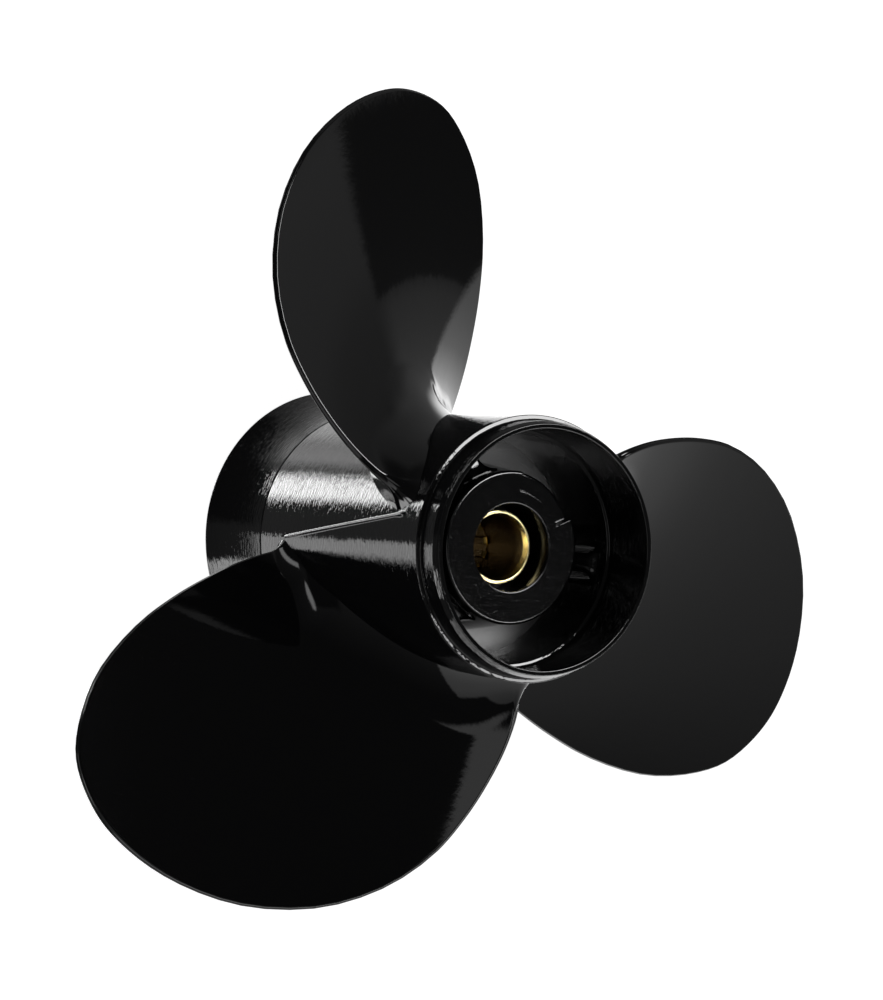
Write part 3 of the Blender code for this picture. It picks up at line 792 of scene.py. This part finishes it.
def gloss_black_paint(name, wave_mm, turned_mm=0.0, skin_and_painted_light=False):
    """Gloss black spray paint over cast aluminium.

    The metal's waves and the paint's orange peel bend sharp reflections; a little haze dulls it in places.
    Where the casting was turned, fine tool marks run round the axis under the paint. With the passage wall
    switched on, the paint lies thin on the sand-cast wall of the exhaust passages, forward of their throat,
    and its colour there is a lighter grey: painted light, for the light that reaches that wall.
    """
    material, tree, place = new_material(name)
    waves = bump(tree, wave_mm, noise(tree, place, size_mm=5.0, detail=1.0))
    normal = bump(tree, PEEL_MM, noise(tree, place, size_mm=1.2), waves)
    haze = noise(tree, place, size_mm=14.0, detail=4.0, roughness=0.6)
    roughness = remap(tree, haze, To_Min=0.02, To_Max=0.08)
    colour = linear("#09090a")
    if turned_mm:
        marks = noise(tree, scaled(tree, place, (1, 1, MARKS_FINER)), size_mm=3.0)
        normal = bump(tree, turned_mm, marks, normal)
    if skin_and_painted_light:
        parts = add(tree, "ShaderNodeSeparateXYZ", Vector=place)
        flat = add(tree, "ShaderNodeCombineXYZ", X=parts.outputs["X"], Y=parts.outputs["Y"])
        radius = add(tree, "ShaderNodeVectorMath", {"operation": "LENGTH"}, _0=flat.outputs["Vector"])
        within = below(tree, radius.outputs["Value"], SKIN_R, soft_mm=0.2)
        inside = maths(tree, "MULTIPLY", within, below(tree, parts.outputs["Z"], THROAT_Z, soft_mm=0.3))
        grain = noise(tree, place, size_mm=1.4, detail=3.0, roughness=0.6)
        normal = bump(tree, SKIN_GRAIN_MM, grain, normal, inside)
        roughness = mix_numbers(tree, inside, roughness, SKIN_ROUGHNESS)
        # Painted light: the passage wall's colour is lifted to a lighter grey for the light that reaches it;
        # the grain and roughness above are its real sand-cast skin.
        colour = mix_colours(tree, inside, colour, linear("#5a5a5c"))
    principled(tree, colour, roughness, normal, Metallic=0.0, IOR=PAINT_IOR)
    return material


def cast_paint(name, lumps_mm, grains_mm, least_rough, most_rough):
    """Thin black paint over as-cast aluminium: lumps and sand grains break up every highlight."""
    material, tree, place = new_material(name)
    lumps = bump(tree, lumps_mm, noise(tree, place, size_mm=3.5, roughness=0.6))
    normal = bump(tree, grains_mm, noise(tree, place, size_mm=0.8, detail=3.0, roughness=0.7), lumps)
    haze = noise(tree, place, size_mm=2.0, detail=3.0)
    roughness = remap(tree, haze, To_Min=least_rough, To_Max=most_rough)
    principled(tree, linear("#070708"), roughness, normal, Metallic=0.0, IOR=PAINT_IOR)
    return material


def machined_brass(name):
    """Free-cutting brass, turned and bored: rings of tool marks, bright at its end, browner down the bore."""
    material, tree, place = new_material(name)
    height = add(tree, "ShaderNodeSeparateXYZ", Vector=place).outputs["Z"]
    rings = noise(tree, scaled(tree, place, BRASS_MARK_SCALE), size_mm=0.25)
    near_end = remap(tree, height, From_Min=(SLEEVE_AFT_Z - BORE_DARKENS) * MM,
                     From_Max=(SLEEVE_AFT_Z - CHAMFER_DEPTH) * MM)
    colour = mix_colours(tree, near_end, linear("#66542b"), linear("#ecdba6"))
    principled(tree, colour, BRASS_ROUGHNESS, bump(tree, BRASS_MARK_MM, rings), Metallic=1.0)
    return material


def moulded_rubber(name):
    """Black nitrile rubber from a blasted mould: matte, with a faint bloom."""
    material, tree, place = new_material(name)
    normal = bump(tree, RUBBER_GRAIN_MM, noise(tree, place, size_mm=0.6))
    bloom = remap(tree, noise(tree, place, size_mm=5.0, detail=3.0), To_Min=0.6, To_Max=0.8)
    principled(tree, linear("#1c1c1d"), bloom, normal, Metallic=0.0, IOR=RUBBER_IOR)
    return material


def glowing_sheet(name, radiance, white):
    """A white matt sheet that also gives off plain white light."""
    material, tree, _ = new_material(name)
    light = add(tree, "ShaderNodeEmission", Color=(1, 1, 1, 1), Strength=radiance)
    coat = add(tree, "ShaderNodeBsdfDiffuse", Color=(white, white, white, 1))
    both = add(tree, "ShaderNodeAddShader", _0=light.outputs["Emission"], _1=coat.outputs["BSDF"])
    finish_material(tree, both.outputs["Shader"])
    return material


# What the gloss mirrors, by azimuth from +X towards +Y and elevation, in degrees, with radiance 1 as white.
# Each patch is painted over the ones before it: azimuths, elevations, radiance or a ramp of (elevation,
# radiance), width of the soft edge, and how far its azimuths shift for each degree of elevation.
EVERYWHERE, EVERYWHERE_SOFT = (-90.5, 90.5), 0.1
DARK = ((-90, 0.16), (-44, 0.16), (-20, 0.14), (0, 0.09), (25, 0.045), (90, 0.04))
DIM = ((-90, 0.2), (-20, 0.1), (-9, 0.11), (0, 0.15), (6, 0.19), (12, 0.27), (18, 0.32), (24, 0.38),
       (40, 0.1), (90, 0.05))
PALE = ((-90, 3.6), (-27, 3.4), (-19, 2.0), (-9, 1.1), (2, 0.9), (12, 0.85), (22, 0.65), (32, 0.54),
        (45, 0.4), (53, 0.27), (62, 0.12), (90, 0.08))
LIGHTS = {
    "dim_side": ((-30, 45), EVERYWHERE, DIM, 8, 0),
    "dim_panel": ((-30, 10), (-60, 3.5), 0.26, 5, 0),
    "black_flag": ((-30, 10.7), (4.5, 25.4), 0.07, 1.2, 0),
    "low_pool": ((7, 50), (-60, -12), 0.25, 9, 0),
    "low_glow": ((38, 86), (-42, 13), 0.19, 12, 0),
    "pale_side": ((-133, -5), EVERYWHERE, PALE, 1.5, -0.25),
    "pale_end": ((-150, -117), (20, 85), 0.05, 4, 0),
    "pale_floor": ((-133, 33), (-90, -38), 1.8, 14, 0),
    "key": ((17, 58), (40, 70), 20.0, 3, 0),
    "key_low": ((-38, -17), (46, 70), 12.0, 3, 0),
    "high_side": ((184, 235), (46.5, 78), 0.95, 3, -0.2),
    "shade": ((92, 170), (-45, -8), 0.03, 6, 0),
    "root_spark": ((104, 141), (-9, -2.5), 3.0, 3, 0),
    "spill": ((58, 121), (-76, -43), 0.75, 14, 0),
    "spill_core": ((90, 122), (-76, -46), 1.7, 16, 0),
    "wall_glow": ((42, 78), (-68, -55), 1.6, 8, 0),
    "wall_shade": ((-108, -20), (-68, -54), 0.3, 8, 0),
    "gap": ((109.5, 140), (-85, -51), 0.2, 1.5, 0),
    "strip": ((119, 142), (-80, -55), 12.0, 2, 0),
    "low_side": ((177.5, 206), (-80, -46), 2.5, 1.5, 0),
    "foot": ((195, 214), (-40, -18), 6.0, 4, 0),
}
RADIANCE_TOP = 16.0              # what white in a ramp stands for
ROOM_FILL = 0.3                  # radiance of the room for matt surfaces


def window(tree, value, low, high, soft):
    """1 between low and high, 0 outside, with a smooth change over soft at both ends."""
    smooth = {"interpolation_type": "SMOOTHSTEP"}
    ends = []
    for end, before, after in ((low, 0.0, 1.0), (high, 1.0, 0.0)):
        node = add(tree, "ShaderNodeMapRange", smooth, Value=value, From_Min=end - soft / 2,
                   From_Max=end + soft / 2, To_Min=before, To_Max=after)
        ends.append(node.outputs["Result"])
    return maths(tree, "MULTIPLY", *ends)


def ramp_by(tree, elevation, stops):
    """Radiance by elevation, straight between the stops."""
    share = maths(tree, "MULTIPLY_ADD", elevation, 1 / 180, 0.5)
    node = add(tree, "ShaderNodeValToRGB", Fac=share)
    elements = node.color_ramp.elements
    while len(elements) < len(stops):
        elements.new(0.5)
    for element, (angle, radiance) in zip(elements, stops):
        element.position = angle / 180 + 0.5
        element.color = (*[radiance / RADIANCE_TOP] * 3, 1)
    return maths(tree, "MULTIPLY", node.outputs["Color"], RADIANCE_TOP)


def make_world():
    """A plain white room for the eye and matt surfaces, and a dark studio with soft lights for the gloss."""
    world = bpy.data.worlds.new("studio")
    bpy.context.scene.world = world
    world.use_nodes = True
    tree = world.node_tree
    tree.nodes.clear()
    space = add(tree, "ShaderNodeTexCoord").outputs["Generated"]
    x, y, z = add(tree, "ShaderNodeSeparateXYZ", Vector=space).outputs
    azimuth = maths(tree, "MULTIPLY", maths(tree, "ARCTAN2", y, x), math.degrees(1))
    elevation = maths(tree, "MULTIPLY", maths(tree, "ARCSINE", z), math.degrees(1))
    total = ramp_by(tree, elevation, DARK)
    for azimuths, elevations, radiance, soft, tilt in LIGHTS.values():
        middle = sum(azimuths) / 2
        level = ramp_by(tree, elevation, radiance) if isinstance(radiance, tuple) else radiance
        from_middle = maths(tree, "SUBTRACT", maths(tree, "MULTIPLY_ADD", elevation, -tilt, azimuth), middle)
        aside = maths(tree, "WRAP", from_middle, 180, -180)
        across = window(tree, aside, azimuths[0] - middle, azimuths[1] - middle, soft)
        upright = window(tree, elevation, *elevations, EVERYWHERE_SOFT if elevations == EVERYWHERE else soft)
        total = mix_numbers(tree, maths(tree, "MULTIPLY", across, upright), total, level)
    rays = add(tree, "ShaderNodeLightPath")
    plain = mix_numbers(tree, rays.outputs["Is Camera Ray"], ROOM_FILL, 1.0)
    strength = mix_numbers(tree, rays.outputs["Is Glossy Ray"], plain, total)
    light = add(tree, "ShaderNodeBackground", Strength=strength)
    add(tree, "ShaderNodeOutputWorld", Surface=light.outputs["Background"])


# The stage, in metres and watts
FLOOR_WIDTH, FLOOR_GLOW, FLOOR_WHITE = 12.0, 0.93, 0.7
LAMP_WIDTH, LAMP_POWER, LAMP_PLACE = 1.5, 6.0, (0.3, 0.6, 2.2)


def stage_square(name, width, material):
    """A flat stage piece on the ground, width by width in metres."""
    half = width / 2
    corners = [(-half, -half, 0), (half, -half, 0), (half, half, 0), (-half, half, 0)]
    mesh = bpy.data.meshes.new(name)
    mesh.from_pydata(corners, [], [(0, 1, 2, 3)])
    mesh.materials.append(material)
    thing = bpy.data.objects.new(name, mesh)
    bpy.context.scene.collection.objects.link(thing)
    return thing


def make_stage():
    """A pale floor that glows a little, and a soft lamp overhead."""
    floor = stage_square("floor", FLOOR_WIDTH, glowing_sheet("floor_sheet", FLOOR_GLOW, FLOOR_WHITE))
    floor.visible_glossy = False
    lamp = bpy.data.lights.new("overhead", "AREA")
    lamp.shape = "DISK"
    lamp.size = LAMP_WIDTH
    lamp.energy = LAMP_POWER
    over = bpy.data.objects.new("overhead", lamp)
    over.location = LAMP_PLACE
    over.rotation_euler = (-Vector(over.location)).to_track_quat("-Z", "Y").to_euler()
    over.visible_glossy = False
    bpy.context.scene.collection.objects.link(over)


# The camera of the photograph: its place in millimetres and its axes, as matched to the hub and blades
CAMERA_TURN, CAMERA_DIP, CAMERA_ROLL = math.radians(31.332), math.radians(1.769), math.radians(-0.217)
RIM_CENTRE_IN_VIEW = (32.80, -15.61, 1442.75)     # rightwards, upwards and forwards from the camera
SENSOR, LENS = 36.0, 166.27      # millimetres
VIEW_DEPTH = 50.0                # metres


def make_camera():
    """The camera looks down the shaft at an angle. Its sensor's height spans the picture's height."""
    right = Vector((math.cos(CAMERA_TURN), 0, math.sin(CAMERA_TURN)))
    forward = Vector((math.sin(CAMERA_TURN), 0, -math.cos(CAMERA_TURN)))
    up = Vector((0, 1, 0))
    forward, up = (forward * math.cos(CAMERA_DIP) - up * math.sin(CAMERA_DIP),
                   up * math.cos(CAMERA_DIP) + forward * math.sin(CAMERA_DIP))
    right, up = (right * math.cos(CAMERA_ROLL) + up * math.sin(CAMERA_ROLL),
                 up * math.cos(CAMERA_ROLL) - right * math.sin(CAMERA_ROLL))
    rim = Vector((0, 0, HUB_LENGTH))
    across, above, ahead = RIM_CENTRE_IN_VIEW
    place = (rim - right * across - up * above - forward * ahead) * MM
    data = bpy.data.cameras.new("photo_camera")
    data.sensor_fit = "VERTICAL"
    data.sensor_width = data.sensor_height = SENSOR
    data.lens = LENS
    data.clip_end = VIEW_DEPTH
    camera = bpy.data.objects.new("photo_camera", data)
    camera.matrix_world = Matrix.Translation(place) @ Matrix((right, up, -forward)).transposed().to_4x4()
    bpy.context.scene.collection.objects.link(camera)
    bpy.context.scene.camera = camera


def make_propeller():
    """Every piece of the propeller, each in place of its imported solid."""
    blade_paint = gloss_black_paint("gloss_black_blades", wave_mm=0.011)
    bell_paint = gloss_black_paint("gloss_black_bell", wave_mm=0.03, turned_mm=0.08)
    hub_paint = gloss_black_paint("gloss_black_turned_hub", wave_mm=0.03, turned_mm=0.09, skin_and_painted_light=True)
    inner_paint = cast_paint("cast_black_inner_hub", 0.05, 0.036, least_rough=0.06, most_rough=0.1)
    rib_paint = cast_paint("cast_black_ribs", 0.04, 0.028, least_rough=0.07, most_rough=0.11)
    make_barrel(hub_paint)
    make_front_bell(bell_paint)
    make_aft_ring(hub_paint)
    make_inner_hub(inner_paint)
    make_rubber_bush(moulded_rubber("moulded_rubber"))
    make_spline_sleeve(machined_brass("machined_brass"))
    grid = blade_grid()
    for number in range(1, BLADES + 1):
        make_rib(number, rib_paint)
        make_blade(number, grid, blade_paint)


make_propeller()
make_camera()
make_world()
make_stage()
bpy.context.scene.view_settings.view_transform = "Standard"
